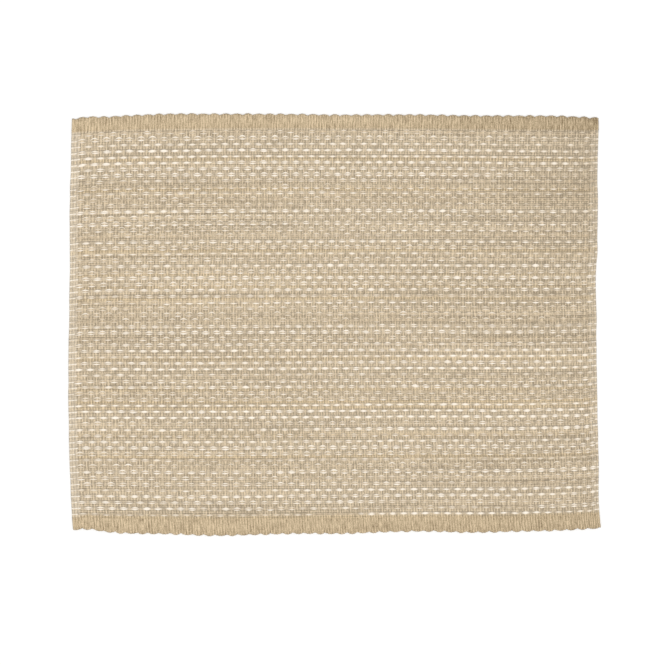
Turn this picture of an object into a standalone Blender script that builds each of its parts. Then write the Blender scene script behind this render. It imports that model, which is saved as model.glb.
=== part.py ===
"""A flat placemat of ribbed cotton, lying on its back.

One woven length: raised weft rows across the middle, a selvedge at each short
side, and a hem of the plain cloth turned under once along each long side.
Metres, +X along the weft rows, +Y along the warp, +Z up. The origin is at the
middle of the underside.
"""

import math
from collections import namedtuple

import bmesh
import bpy

# Size of the mat between its edges' mean lines
MAT_WIDTH = 0.4497
MAT_DEPTH = 0.3557

# Thickness of the cloth
BODY_THICKNESS = 0.0020
ROW_RELIEF = 0.0004
HEM_LAYER = 0.0010
HEM_GAP = 0.0003
HEM_HEIGHT = 2 * HEM_LAYER + HEM_GAP

# Weft rows, and the mean Y of the row by the top hem and of the one by the bottom hem
ROW_COUNT = 64
TOP_ROW_Y = 0.1623
BOTTOM_ROW_Y = -0.1622
ROW_PITCH = (TOP_ROW_Y - BOTTOM_ROW_Y) / (ROW_COUNT - 1)

# Hem: solid cloth at the nose of its fold, its slope down to the first row,
# and the groove past the cut edge underneath
FOLD_NOSE = 0.0020
HEM_SLOPE = 0.0010
CUT_EDGE_GROOVE = 0.0009
FOLD_ANGLES = (90, 45, 0, -45, -90)

# Scallops of the hems' edges: each takes in four warp ribs. Their sizes differ
# by a share of the height, in a wave whose step from head to head is in radians.
WARP_RIBS = 192
RIBS_PER_SCALLOP = 4
RIB_PITCH = MAT_WIDTH / WARP_RIBS
SCALLOP_PITCH = RIBS_PER_SCALLOP * RIB_PITCH
SCALLOP_HEIGHT = 0.0014
SCALLOP_MEAN = 2 / math.pi
SCALLOP_UNEVENNESS = 0.35
SCALLOP_WAVE_STEP = 2.4

# Places along a row, as shares of the half width, where a plain line has points
COARSE_STATIONS = (0.0, 0.165, 0.33, 0.495, 0.66, 0.82, 0.93, 1.0)
UNDERSIDE_LINES = 13

COTTON_COLOUR = (0.60, 0.50, 0.36, 1.0)
COTTON_ROUGHNESS = 0.92

# How far the cloth lies off its even lines, in millimetres. At each place along
# the weft: the shift along Y of the top edge, the top row, the bottom row and
# the bottom edge, the shift of the warp ribs along X, and where along X the
# first scallop of each hem has its head.
LongEdgeRow = namedtuple("LongEdgeRow", "x top top_row bottom_row bottom ribs top_head bottom_head")
LONG_EDGES = (
    LongEdgeRow(-225, -3.2, -1.9, 0.3, 2.1, 0.0, 0.8, 5.5),
    LongEdgeRow(-213, -1.4, -1.1, 0.2, 2.7, 0.9, 0.8, 5.5),
    LongEdgeRow(-200, -1.4, -0.5, 0.1, 0.6, 1.8, 0.8, 5.5),
    LongEdgeRow(-185, -0.5, 0.1, -0.1, -0.7, 2.8, 0.8, 5.5),
    LongEdgeRow(-148, 1.1, 0.7, -0.5, -1.4, 4.7, 0.8, 5.6),
    LongEdgeRow(-111, 1.1, 1.2, -0.6, -2.8, 5.7, 1.2, 6.4),
    LongEdgeRow(-74, 1.1, 1.4, -0.4, -1.9, 6.1, 1.8, 7.6),
    LongEdgeRow(-37, 0.8, 1.5, 0.0, -1.0, 5.2, 1.5, 7.6),
    LongEdgeRow(0, 0.3, 1.5, 0.3, -1.1, 3.7, 1.1, 6.9),
    LongEdgeRow(37, 0.5, 1.4, 0.7, 0.3, 1.6, 0.0, 6.2),
    LongEdgeRow(74, 0.4, 1.2, 1.1, 0.9, 0.5, -1.2, 6.0),
    LongEdgeRow(111, -0.3, 0.9, 1.1, -0.1, 0.5, -1.1, 5.5),
    LongEdgeRow(148, -0.4, 0.5, 1.3, 0.8, 1.1, -1.0, 6.2),
    LongEdgeRow(185, -0.6, 0.2, 2.2, 1.6, 1.3, -1.9, 6.1),
    LongEdgeRow(205, -1.3, 0.0, 2.9, 2.7, 1.0, -2.0, 6.1),
    LongEdgeRow(225, -2.3, -0.4, 4.0, 3.5, 0.0, -2.0, 6.1),
)
# At each place along the warp: the shift along X of the left and the right edge.
ShortEdgeRow = namedtuple("ShortEdgeRow", "y left right")
SHORT_EDGES = (
    ShortEdgeRow(-178, 2.8, 2.8),
    ShortEdgeRow(-168, 2.2, 1.7),
    ShortEdgeRow(-150, 1.1, 0.8),
    ShortEdgeRow(-125, 0.1, 1.1),
    ShortEdgeRow(-100, -0.5, 0.3),
    ShortEdgeRow(-65, -1.1, -0.5),
    ShortEdgeRow(-35, -1.3, -1.0),
    ShortEdgeRow(0, -0.7, -1.0),
    ShortEdgeRow(35, 0.0, -1.6),
    ShortEdgeRow(65, 0.0, -0.1),
    ShortEdgeRow(100, 0.0, 0.1),
    ShortEdgeRow(125, 0.5, -0.1),
    ShortEdgeRow(150, 1.0, 0.3),
    ShortEdgeRow(168, 1.6, 0.8),
    ShortEdgeRow(178, 1.9, 0.7),
)
MILLIMETRE = 0.001

# A line runs across the mat from selvedge to selvedge. It has its mean place
# and height, the share of the scallops that it follows, and fine lines have a
# point on every warp rib.
Line = namedtuple("Line", "y z scallop fine")
Hem = namedtuple("Hem", "outer inner")


def clear_scene():
    """Remove the objects that a new file opens with."""
    for old in list(bpy.data.objects):
        bpy.data.objects.remove(old, do_unlink=True)


def read_table(table, column, place):
    """Value of a column at a place in metres, on a smooth curve through the rows."""
    at = place / MILLIMETRE
    places = [row[0] for row in table]
    values = [getattr(row, column) for row in table]
    last = len(table) - 1
    right = next((i for i, other in enumerate(places) if other > at), last)
    right = max(right, 1)
    left = right - 1

    def slope(i):
        low, high = max(i - 1, 0), min(i + 1, last)
        return (values[high] - values[low]) / (places[high] - places[low])

    span = places[right] - places[left]
    t = min(max((at - places[left]) / span, 0.0), 1.0)
    rise = values[right] - values[left]
    bend_in = slope(left) * span - rise
    bend_out = rise - slope(right) * span
    curve = t * (1 - t) * (bend_in * (1 - t) + bend_out * t)
    return (values[left] + rise * t + curve) * MILLIMETRE


def scallop(x, side):
    """How far a hem's edge stands out at x: round heads, narrow dips, uneven."""
    head = read_table(LONG_EDGES, "top_head" if side > 0 else "bottom_head", x)
    phase = (x + MAT_WIDTH / 2 - head) / SCALLOP_PITCH
    number = math.floor(phase + 0.5)
    size = 1 + SCALLOP_UNEVENNESS * math.sin(SCALLOP_WAVE_STEP * number + side)
    return SCALLOP_HEIGHT * size * (abs(math.cos(math.pi * phase)) - SCALLOP_MEAN)


def shift_along_warp(x, y):
    """Shift along Y at a mean place: even between the rows, and across each hem."""
    half = MAT_DEPTH / 2
    levels = (
        (-half, "bottom"),
        (BOTTOM_ROW_Y, "bottom_row"),
        (TOP_ROW_Y, "top_row"),
        (half, "top"),
    )
    upper = next((i for i, level in enumerate(levels) if level[0] >= y), len(levels) - 1)
    upper = max(upper, 1)
    (low_y, low), (high_y, high) = levels[upper - 1], levels[upper]
    share = (y - low_y) / (high_y - low_y)
    low_shift = read_table(LONG_EDGES, low, x)
    return low_shift + (read_table(LONG_EDGES, high, x) - low_shift) * share


def drifted(x, line):
    """Point of a line at the mean place x, moved as the cloth lies."""
    side = 1 if line.y > 0 else -1
    across = x / MAT_WIDTH + 0.5
    left = read_table(SHORT_EDGES, "left", line.y)
    right = read_table(SHORT_EDGES, "right", line.y)
    new_x = x + read_table(LONG_EDGES, "ribs", x) + left + (right - left) * across
    shift_y = shift_along_warp(x, line.y) + side * line.scallop * scallop(new_x, side)
    return new_x, line.y + shift_y, line.z


def stations(fine):
    """Mean X places of a line's points, left to right."""
    half = MAT_WIDTH / 2
    if fine:
        return [-half + i * RIB_PITCH for i in range(WARP_RIBS + 1)]
    shares = [-share for share in reversed(COARSE_STATIONS[1:])] + list(COARSE_STATIONS)
    return [share * half for share in shares]


def row_lines():
    """Top face from the bottom hem to the top hem: a dip, then each row's crown and dip."""
    lines = [Line(BOTTOM_ROW_Y - ROW_PITCH / 2, BODY_THICKNESS, 0.0, False)]
    for row in range(ROW_COUNT):
        y = BOTTOM_ROW_Y + row * ROW_PITCH
        lines.append(Line(y, BODY_THICKNESS + ROW_RELIEF, 0.0, False))
        lines.append(Line(y + ROW_PITCH / 2, BODY_THICKNESS, 0.0, False))
    return lines


def hem_lines(side, joint):
    """Lines of the hem at side +1 or -1 whose cloth meets the rows at Y joint.

    outer goes from the rows over the top face and round the fold to the cut
    edge underneath. inner goes on from there through the slit between the two
    layers, back to the rows.
    """
    edge = side * MAT_DEPTH / 2
    cut = joint + side * CUT_EDGE_GROOVE
    radius = HEM_HEIGHT / 2
    nose = edge - side * FOLD_NOSE
    slit = nose - side * HEM_GAP / 2
    outer = [Line(joint + side * HEM_SLOPE, HEM_HEIGHT, 0.0, False)]
    for degrees in FOLD_ANGLES:
        angle = math.radians(degrees)
        inset = radius * (1 - math.cos(angle))
        height = radius * (1 + math.sin(angle))
        follow = 0.5 + 0.5 * math.cos(angle)
        outer.append(Line(edge - side * inset, height, follow, True))
    outer.append(Line(cut, 0.0, 0.0, False))
    inner = [
        Line(cut, HEM_LAYER, 0.0, False),
        Line(slit, HEM_LAYER, 0.0, False),
        Line(nose, HEM_LAYER + HEM_GAP / 2, 0.0, False),
        Line(slit, HEM_LAYER + HEM_GAP, 0.0, False),
        Line(joint, HEM_LAYER + HEM_GAP, 0.0, False),
    ]
    return Hem(outer, inner)


def underside_lines(start, end):
    """Flat underside of the rows, from Y start to Y end."""
    step = (end - start) / (UNDERSIDE_LINES - 1)
    return [Line(start + i * step, 0.0, 0.0, False) for i in range(UNDERSIDE_LINES)]


def add_points(mesh, lines):
    """Vertices of each line, left to right."""
    return [[mesh.verts.new(drifted(x, line)) for x in stations(line.fine)] for line in lines]


def join(mesh, first, second):
    """Triangles between two runs of vertices, always across the shorter diagonal."""
    i, j = 0, 0
    while i + 1 < len(first) or j + 1 < len(second):
        ahead = i + 1 < len(first)
        if ahead and j + 1 < len(second):
            along_first = (first[i + 1].co - second[j].co).length
            along_second = (first[i].co - second[j + 1].co).length
            ahead = along_first <= along_second
        if ahead:
            mesh.faces.new((first[i], second[j], first[i + 1]))
            i += 1
        else:
            mesh.faces.new((first[i], second[j], second[j + 1]))
            j += 1


def close_sides(mesh, rows, top, bottom, underside):
    """Faces of the two selvedges, over the rows and over each hem's two layers."""
    pairs = (
        (rows, [bottom.inner[-1]] + underside[::-1] + [top.inner[-1]]),
        (rows[-1:] + top.outer, top.inner[::-1]),
        (rows[:1] + bottom.outer, bottom.inner[::-1]),
    )
    for end in (0, -1):
        for above, below in pairs:
            join(mesh, [line[end] for line in above], [line[end] for line in below])


def centre(mesh):
    """Move the mesh so that the middle of its box stands over the origin."""
    for axis in (0, 1):
        places = [vertex.co[axis] for vertex in mesh.verts]
        middle = (min(places) + max(places)) / 2
        for vertex in mesh.verts:
            vertex.co[axis] -= middle


def woven_mat_mesh():
    """Closed mesh of the whole cloth with both hems turned under."""
    mesh = bmesh.new()
    row_run = row_lines()
    bottom_run = hem_lines(-1, row_run[0].y)
    top_run = hem_lines(1, row_run[-1].y)
    rows = add_points(mesh, row_run)
    top = Hem(add_points(mesh, top_run.outer), add_points(mesh, top_run.inner))
    bottom = Hem(add_points(mesh, bottom_run.outer), add_points(mesh, bottom_run.inner))
    underside = add_points(mesh, underside_lines(row_run[-1].y, row_run[0].y))
    ring = rows + top.outer + top.inner + underside + bottom.inner[::-1] + bottom.outer[::-1]
    for line, following in zip(ring, ring[1:] + ring[:1]):
        join(mesh, line, following)
    close_sides(mesh, rows, top, bottom, underside)
    centre(mesh)
    bmesh.ops.recalc_face_normals(mesh, faces=mesh.faces)
    return mesh


def ribbed_cotton():
    """Matt undyed cotton, beige with paler weft rows."""
    material = bpy.data.materials.new("ribbed_cotton")
    material.use_nodes = True
    shader = material.node_tree.nodes["Principled BSDF"]
    shader.inputs["Base Color"].default_value = COTTON_COLOUR
    shader.inputs["Roughness"].default_value = COTTON_ROUGHNESS
    shader.inputs["Metallic"].default_value = 0.0
    return material


def build_woven_mat():
    """The placemat's one object."""
    mesh = woven_mat_mesh()
    data = bpy.data.meshes.new("woven_mat")
    mesh.to_mesh(data)
    mesh.free()
    data.materials.append(ribbed_cotton())
    mat = bpy.data.objects.new("woven_mat", data)
    bpy.context.scene.collection.objects.link(mat)
    return mat


clear_scene()
build_woven_mat()
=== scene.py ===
"""Looks of the ribbed cotton placemat, lying flat under soft light.

The mat is one woven length: beige warp ribs that run down it, paler weft that
floats over them in rows, a selvedge at each short side, and a hem turned under
along each long side. Metres, in the frame of the solid that the cloth stands for.
"""

import logging
import math
from dataclasses import dataclass, field, fields, replace
from enum import Enum
from functools import cached_property

import bpy
import numpy as np
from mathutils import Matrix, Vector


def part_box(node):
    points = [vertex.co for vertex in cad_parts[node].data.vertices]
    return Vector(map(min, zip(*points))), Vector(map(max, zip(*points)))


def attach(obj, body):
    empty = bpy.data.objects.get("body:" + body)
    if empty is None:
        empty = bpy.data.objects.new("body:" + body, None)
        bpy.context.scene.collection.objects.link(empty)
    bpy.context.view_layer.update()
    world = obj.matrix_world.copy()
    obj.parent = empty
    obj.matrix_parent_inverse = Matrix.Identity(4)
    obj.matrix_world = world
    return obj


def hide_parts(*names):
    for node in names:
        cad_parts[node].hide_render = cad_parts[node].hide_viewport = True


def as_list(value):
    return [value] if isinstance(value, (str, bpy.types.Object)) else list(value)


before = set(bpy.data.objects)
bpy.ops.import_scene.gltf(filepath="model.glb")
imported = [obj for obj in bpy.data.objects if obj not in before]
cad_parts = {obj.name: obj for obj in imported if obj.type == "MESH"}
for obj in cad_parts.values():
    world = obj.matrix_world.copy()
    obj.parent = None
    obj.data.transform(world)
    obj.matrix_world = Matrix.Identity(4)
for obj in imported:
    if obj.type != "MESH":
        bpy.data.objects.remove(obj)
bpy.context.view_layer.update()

MM = 0.001
LOG = logging.getLogger("placemat")
Pair = tuple[float, float]
Triple = tuple[float, float, float]
Socket = bpy.types.NodeSocket


class Hem(Enum):
    """The two long sides, by the way they face along Y."""

    TOP = 1
    BOTTOM = -1


class Ply(Enum):
    """The two strands of a weft float, by the way they part along Y."""

    UPPER = 1
    LOWER = -1


@dataclass(frozen=True)
class LongEdgeRow:
    """How far the cloth lies off its even lines at one place along the weft, in millimetres.

    It gives the shift along Y of the top edge, the top row, the bottom row and
    the bottom edge, the shift of the ribs along X, and where along X the first
    scallop of each hem has its head.
    """

    x: float
    top: float
    top_row: float
    bottom_row: float
    bottom: float
    ribs: float
    top_head: float
    bottom_head: float


LONG_EDGES = tuple(LongEdgeRow(*row) for row in (
    (-225, -3.2, -1.9, 0.3, 2.1, 0.0, 0.8, 5.5), (-213, -1.4, -1.1, 0.2, 2.7, 0.9, 0.8, 5.5),
    (-200, -1.4, -0.5, 0.1, 0.6, 1.8, 0.8, 5.5), (-185, -0.5, 0.1, -0.1, -0.7, 2.8, 0.8, 5.5),
    (-148, 1.1, 0.7, -0.5, -1.4, 4.7, 0.8, 5.6), (-111, 1.1, 1.2, -0.6, -2.8, 5.7, 1.2, 6.4),
    (-74, 1.1, 1.4, -0.4, -1.9, 6.1, 1.8, 7.6), (-37, 0.8, 1.5, 0.0, -1.0, 5.2, 1.5, 7.6),
    (0, 0.3, 1.5, 0.3, -1.1, 3.7, 1.1, 6.9), (37, 0.5, 1.4, 0.7, 0.3, 1.6, 0.0, 6.2),
    (74, 0.4, 1.2, 1.1, 0.9, 0.5, -1.2, 6.0), (111, -0.3, 0.9, 1.1, -0.1, 0.5, -1.1, 5.5),
    (148, -0.4, 0.5, 1.3, 0.8, 1.1, -1.0, 6.2), (185, -0.6, 0.2, 2.2, 1.6, 1.3, -1.9, 6.1),
    (205, -1.3, 0.0, 2.9, 2.7, 1.0, -2.0, 6.1), (225, -2.3, -0.4, 4.0, 3.5, 0.0, -2.0, 6.1),
))


@dataclass(frozen=True)
class ShortEdgeRow:
    """Shift along X of the left and the right edge at one place along the warp, in millimetres."""

    y: float
    left: float
    right: float


SHORT_EDGES = tuple(ShortEdgeRow(*row) for row in (
    (-178, 2.8, 2.8), (-168, 2.2, 1.7), (-150, 1.1, 0.8), (-125, 0.1, 1.1), (-100, -0.5, 0.3),
    (-65, -1.1, -0.5), (-35, -1.3, -1.0), (0, -0.7, -1.0), (35, 0.0, -1.6), (65, 0.0, -0.1),
    (100, 0.0, 0.1), (125, 0.5, -0.1), (150, 1.0, 0.3), (168, 1.6, 0.8), (178, 1.9, 0.7),
))


@dataclass(frozen=True)
class RibDrift:
    """How far the ribs lie off along X at one place along the warp, in millimetres.

    The columns stand at DRIFT_X, from the left to the right.
    """

    y: float
    far_left: float
    left: float
    mid_left: float
    middle: float
    mid_right: float
    right: float
    far_right: float


DRIFT_X = (-205, -150, -93, 0, 95, 150, 205)
RIB_DRIFT = tuple(RibDrift(*row) for row in (
    (-144, 0.7, 0.3, 0.3, 1.6, 2.3, 2.8, 2.6), (-103, 0.5, 0.9, 1.2, 1.4, 1.6, 1.8, 1.8),
    (-62, 0.3, 0.8, 0.9, 0.5, 0.9, 0.9, 0.7), (-21, -0.2, 0.1, 0.2, -0.3, 0.1, 0.4, 0.4),
    (21, -0.4, -0.1, -0.4, -0.7, -0.5, -0.2, -0.3), (62, 0.1, 0.5, 0.5, -0.2, -0.7, -0.6, -1.0),
    (103, 0.8, 1.4, 1.8, 0.7, 0.0, 0.0, -0.6), (144, 1.6, 0.9, 0.5, 0.4, 0.6, 0.7, 0.3),
))

# The weft in each row, from the top hem down, as a weaver would chart it: how
# white its upper and its lower strand are, from 0 for the beige of the warp to
# 9 for a bleached white, and how far the two part, from 0 to 9
UPPER_STRAND = "15564656" "30223643" "22332353" "64731332" "46156457" "32523678" "36256323" "43455433"
LOWER_STRAND = "24477766" "25512727" "41845354" "74437221" "56435458" "36544679" "37357431" "73467243"
PARTING = "57120245" "49366376" "85361626" "46335577" "34542031" "25367011" "62325627" "55513431"
FULL_MARK = 9


@dataclass(frozen=True)
class YarnChange:
    """A row, counted from 1 at the top, whose yarn changes at x, in millimetres, for the rest of it."""

    row: int
    x: float
    upper: int
    lower: int


YARN_CHANGES = tuple(YarnChange(*row) for row in (
    (8, 150, 3, 3), (17, 40, 2, 6), (23, -40, 6, 7), (29, -225, 1, 2), (29, -150, 1, 8),
    (35, 120, 0, 1), (38, 60, 7, 7), (50, -225, 4, 4), (50, -30, 6, 6), (50, 50, 8, 9),
    (57, 140, 7, 8), (59, -50, 4, 5), (59, 60, 2, 1), (60, -225, 3, 3), (60, -50, 5, 6),
    (60, 60, 7, 8), (62, -225, 5, 5), (62, 40, 2, 2), (63, -225, 6, 7), (63, -120, 3, 4),
    (63, 15, 1, 2), (63, 165, 5, 7), (64, -225, 1, 1), (64, 20, 6, 7), (64, 182, 3, 4),
))

# Where the warp looks a little more golden: beside which rows, counted from 1 at
# the top and with .5 for the line below a row, and how much, from 0 to 1
GOLDEN_LINES = (
    (5.5, 0.9), (10.5, 0.9), (20.5, 0.9), (24.5, 0.6), (26.5, 0.6), (28.5, 0.8), (38.5, 0.7),
    (43.5, 0.7), (45.5, 1.0), (46.5, 0.8), (51.0, 0.6), (54.5, 0.8), (64.5, 1.0),
)


def read_curve(places: np.ndarray, values: np.ndarray, at: np.ndarray) -> np.ndarray:
    """Read a smooth curve through a table's rows.

    Args:
        places: Where each row stands, rising.
        values: The rows' values.
        at: Where to read, held within the table's ends.

    Returns:
        The value at each place asked for.
    """
    last = len(places) - 1
    low = np.maximum(np.arange(last + 1) - 1, 0)
    high = np.minimum(np.arange(last + 1) + 1, last)
    slopes = (values[high] - values[low]) / (places[high] - places[low])
    right = np.clip(np.searchsorted(places, at, side="right"), 1, last)
    left = right - 1
    span = places[right] - places[left]
    t = np.clip((at - places[left]) / span, 0.0, 1.0)
    rise = values[right] - values[left]
    bend_in = slopes[left] * span - rise
    bend_out = rise - slopes[right] * span
    return values[left] + rise * t + t * (1 - t) * (bend_in * (1 - t) + bend_out * t)


def read_column(table: tuple, place: str, column: str, at: np.ndarray) -> np.ndarray:
    """Read one column of a table kept in millimetres, at places in metres.

    Args:
        table: The table's rows.
        place: Name of the column that says where each row stands.
        column: Name of the column to read.
        at: Where to read.

    Returns:
        The column's values there, in metres.
    """
    places = np.array([getattr(row, place) for row in table]) * MM
    values = np.array([getattr(row, column) for row in table]) * MM
    return read_curve(places, values, at)


def between(limits: Pair, share: np.ndarray) -> np.ndarray:
    """Value that lies a share of the way from the first limit to the second."""
    low, high = limits
    return low + (high - low) * share


def round_ended(stations: tuple[float, ...], bluntness: float) -> np.ndarray:
    """Girth along a run of yarn, from 0 at its ends to 1 in its middle.

    Args:
        stations: Places along the run, from -1 to 1.
        bluntness: 1 for ends like a ball's, and less for blunter ones.

    Returns:
        The girth at each station.
    """
    t = np.array(stations)
    return np.sqrt(np.clip(1 - t * t, 0.0, 1.0)) ** bluntness


@dataclass(frozen=True)
class Unevenness:
    """A smooth seeded field over the cloth, from -1 to 1."""

    seed: int
    cell_x: float
    cell_y: float
    reach: float = 0.30

    def at(self, x: np.ndarray, y: np.ndarray) -> np.ndarray:
        """Read the field.

        Args:
            x: Places along the weft.
            y: Places along the warp, of the same shape.

        Returns:
            The field's value at each place.
        """
        across = (x + self.reach) / self.cell_x
        along = (y + self.reach) / self.cell_y
        shape = (int(2 * self.reach / self.cell_y) + 3, int(2 * self.reach / self.cell_x) + 3)
        grid = np.random.default_rng(self.seed).uniform(-1.0, 1.0, shape)
        column = np.floor(across).astype(int)
        row = np.floor(along).astype(int)
        s = self.ease(across - column)
        t = self.ease(along - row)
        near = grid[row, column] * (1 - s) + grid[row, column + 1] * s
        far = grid[row + 1, column] * (1 - s) + grid[row + 1, column + 1] * s
        return near * (1 - t) + far * t

    @staticmethod
    def ease(t: np.ndarray) -> np.ndarray:
        """Smooth step from 0 to 1."""
        return t * t * (3 - 2 * t)


@dataclass(frozen=True)
class WeavePlan:
    """Where each rib, row and edge of the cloth lies."""

    width: float = 0.4497
    depth: float = 0.3557
    ribs: int = 192
    rows: int = 64
    top_row_y: float = 0.1623
    bottom_row_y: float = -0.1622
    ribs_per_repeat: int = 4
    plain_ribs: int = 2
    scallop_height: float = 0.0014
    scallop_unevenness: float = 0.35
    scallop_wave_step: float = 2.4
    wander: float = 0.00012
    wander_x: Unevenness = Unevenness(seed=11, cell_x=0.016, cell_y=0.021)
    wander_y: Unevenness = Unevenness(seed=12, cell_x=0.024, cell_y=0.011)
    jostle: float = 0.00030
    rib_jostle: Unevenness = Unevenness(seed=13, cell_x=0.00234, cell_y=0.012)
    edge_hold: int = 8
    selvedge_slant: float = 0.0010
    selvedge_reach: float = 0.011

    @property
    def rib_pitch(self) -> float:
        """Distance from rib to rib."""
        return self.width / self.ribs

    @property
    def row_pitch(self) -> float:
        """Distance from weft row to weft row."""
        return (self.top_row_y - self.bottom_row_y) / (self.rows - 1)

    def rib_x(self, rib: np.ndarray) -> np.ndarray:
        """Mean X of the crown of each rib, counted from the left."""
        return -self.width / 2 + (rib + 0.5) * self.rib_pitch

    def row_y(self, row: np.ndarray) -> np.ndarray:
        """Mean Y of each weft row, counted from the top."""
        return self.top_row_y - row * self.row_pitch

    def float_centre(self, row: int) -> int:
        """Which rib of each repeat lies under the middle of the floats of a row."""
        return 1 if row % 2 == 0 else 3

    def float_middles(self, row: int) -> np.ndarray:
        """Ribs under the middles of a row's floats, which stop short of the selvedges."""
        middles = np.arange(self.float_centre(row), self.ribs, self.ribs_per_repeat)
        return middles[(middles > self.plain_ribs) & (middles < self.ribs - self.plain_ribs)]

    def over(self, row: int) -> np.ndarray:
        """Which ribs lie over the weft in a row."""
        half = self.ribs_per_repeat // 2
        rib = np.arange(self.ribs)
        outermost = (rib < self.plain_ribs) | (rib >= self.ribs - self.plain_ribs)
        raised = (self.float_centre(row) + half) % self.ribs_per_repeat
        return (rib % self.ribs_per_repeat == raised) & ~outermost

    def beaded(self, row: int) -> np.ndarray:
        """Which ribs by the selvedges the weft crosses one by one in a row."""
        free = ~self.over(row)
        for middle in self.float_middles(row):
            free[middle - 1:middle + 2] = False
        return free

    def outermost(self, x: np.ndarray) -> np.ndarray:
        """Whether each mean X lies among the ribs of a selvedge."""
        return np.abs(x) > self.width / 2 - (self.plain_ribs + 1) * self.rib_pitch

    def long_edge(self, column: str, x: np.ndarray) -> np.ndarray:
        """Read a column of the long edges' table at x."""
        return read_column(LONG_EDGES, "x", column, x)

    def short_edge(self, column: str, y: np.ndarray) -> np.ndarray:
        """Read a column of the short edges' table at y."""
        return read_column(SHORT_EDGES, "y", column, y)

    def drift(self, x: np.ndarray, y: np.ndarray) -> np.ndarray:
        """Shift of the ribs along X inside the mat, which dies out at the selvedges."""
        places = np.array([-self.width / 2, *(x * MM for x in DRIFT_X), self.width / 2])
        names = [column.name for column in fields(RibDrift)[1:]]
        read = [read_column(RIB_DRIFT, "y", name, y) for name in names]
        curves = [np.zeros_like(y), *read, np.zeros_like(y)]
        shift = np.zeros_like(x)
        for number in range(len(places) - 1):
            t = (x - places[number]) / (places[number + 1] - places[number])
            here = (t >= 0) & (t < 1)
            eased = Unevenness.ease(np.clip(t, 0.0, 1.0))
            shift = np.where(here, curves[number] * (1 - eased) + curves[number + 1] * eased, shift)
        return shift

    def scallop(self, x: np.ndarray, hem: Hem) -> np.ndarray:
        """How far a hem's edge stands out.

        Args:
            x: Places along the hem, shifted as the ribs are.
            hem: Which hem.

        Returns:
            The distance past the mean edge: round heads, narrow dips, uneven.
        """
        pitch = self.ribs_per_repeat * self.rib_pitch
        head = self.long_edge("top_head" if hem is Hem.TOP else "bottom_head", x)
        phase = (x + self.width / 2 - head) / pitch
        number = np.floor(phase + 0.5)
        size = 1 + self.scallop_unevenness * np.sin(self.scallop_wave_step * number + hem.value)
        return self.scallop_height * size * (np.abs(np.cos(math.pi * phase)) - 2 / math.pi)

    def crept(self, x: np.ndarray, y: np.ndarray, follow: np.ndarray) -> tuple[np.ndarray, np.ndarray]:
        """Move mean places as the cloth has crept.

        Args:
            x: Mean places along the weft.
            y: Mean places along the warp.
            follow: Share of the hems' scallops that each place follows.

        Returns:
            The moved X and Y places.
        """
        half = self.depth / 2
        left, right = self.short_edge("left", y), self.short_edge("right", y)
        new_x = x + self.long_edge("ribs", x) + left + (right - left) * (x / self.width + 0.5)
        new_x = new_x + self.drift(x, y)
        levels = (
            (-half, "bottom"),
            (self.bottom_row_y, "bottom_row"),
            (self.top_row_y, "top_row"),
            (half, "top"),
        )
        shift = self.long_edge("bottom", x)
        for (low_y, low), (high_y, high) in zip(levels, levels[1:]):
            share = np.clip((y - low_y) / (high_y - low_y), 0.0, 1.0)
            shift = shift + (self.long_edge(high, x) - self.long_edge(low, x)) * share
        stand_out = np.where(y > 0, self.scallop(new_x, Hem.TOP), -self.scallop(new_x, Hem.BOTTOM))
        return new_x, y + shift + follow * stand_out

    @cached_property
    def centring(self) -> np.ndarray:
        """What brings the outline's middle over the middle of the solid's box."""
        along = np.linspace(-self.width / 2, self.width / 2, self.ribs + 1)
        half_depth = np.full_like(along, self.depth / 2)
        up = np.linspace(-self.depth / 2, self.depth / 2, self.rows * 2)
        half_width = np.full_like(up, self.width / 2)
        long_sides = [self.crept(along, side * half_depth, np.ones_like(along))[1] for side in (-1, 1)]
        short_sides = [self.crept(side * half_width, up, np.zeros_like(up))[0] for side in (-1, 1)]
        low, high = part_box("woven_mat")
        return np.array([
            (low[0] + high[0]) / 2 - (short_sides[0].min() + short_sides[1].max()) / 2,
            (low[1] + high[1]) / 2 - (long_sides[0].min() + long_sides[1].max()) / 2,
        ])

    def place(
        self, x: np.ndarray, y: np.ndarray, z: np.ndarray, follow: float | np.ndarray = 0.0
    ) -> np.ndarray:
        """Put mean places of the weave where they lie on the real cloth.

        Args:
            x: Mean places along the weft.
            y: Mean places along the warp.
            z: Heights.
            follow: Share of the hems' scallops that each place follows.

        Returns:
            The points, with X, Y and Z along the last axis.
        """
        x, y, z, follow = np.broadcast_arrays(x, y, z, follow)
        new_x, new_y = self.crept(x, y, follow)
        inside = 1 - np.clip(np.abs(y) / (self.depth / 2), 0.0, 1.0) ** self.edge_hold
        aside = self.wander * self.wander_x.at(x, y) + self.jostle * self.rib_jostle.at(x, y)
        new_x = new_x + aside * inside
        new_y = new_y + self.wander * self.wander_y.at(x, y) * inside
        past = np.clip((np.abs(x) - self.width / 2) / self.selvedge_reach + 1, 0.0, 1.0)
        new_y = new_y + self.selvedge_slant * np.sign(x) * past * inside
        return np.stack([new_x + self.centring[0], new_y + self.centring[1], z], axis=-1)

    def runs(
        self, x: np.ndarray, y: np.ndarray, stations: tuple[float, ...], half: float, heights: Pair
    ) -> np.ndarray:
        """Centre lines of short runs of yarn that lie along the weft.

        Args:
            x: Mean X of each run's middle.
            y: Mean Y of each run.
            stations: Places along a run, from -1 to 1.
            half: Half of a run's length.
            heights: Height of its ends and of its middle.

        Returns:
            The centre lines' points.
        """
        t = np.array(stations)
        height = between(heights, np.cos(math.pi / 2 * t))
        return self.place(x[:, None] + half * t, y[:, None], np.repeat(height[None], len(x), axis=0))


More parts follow.
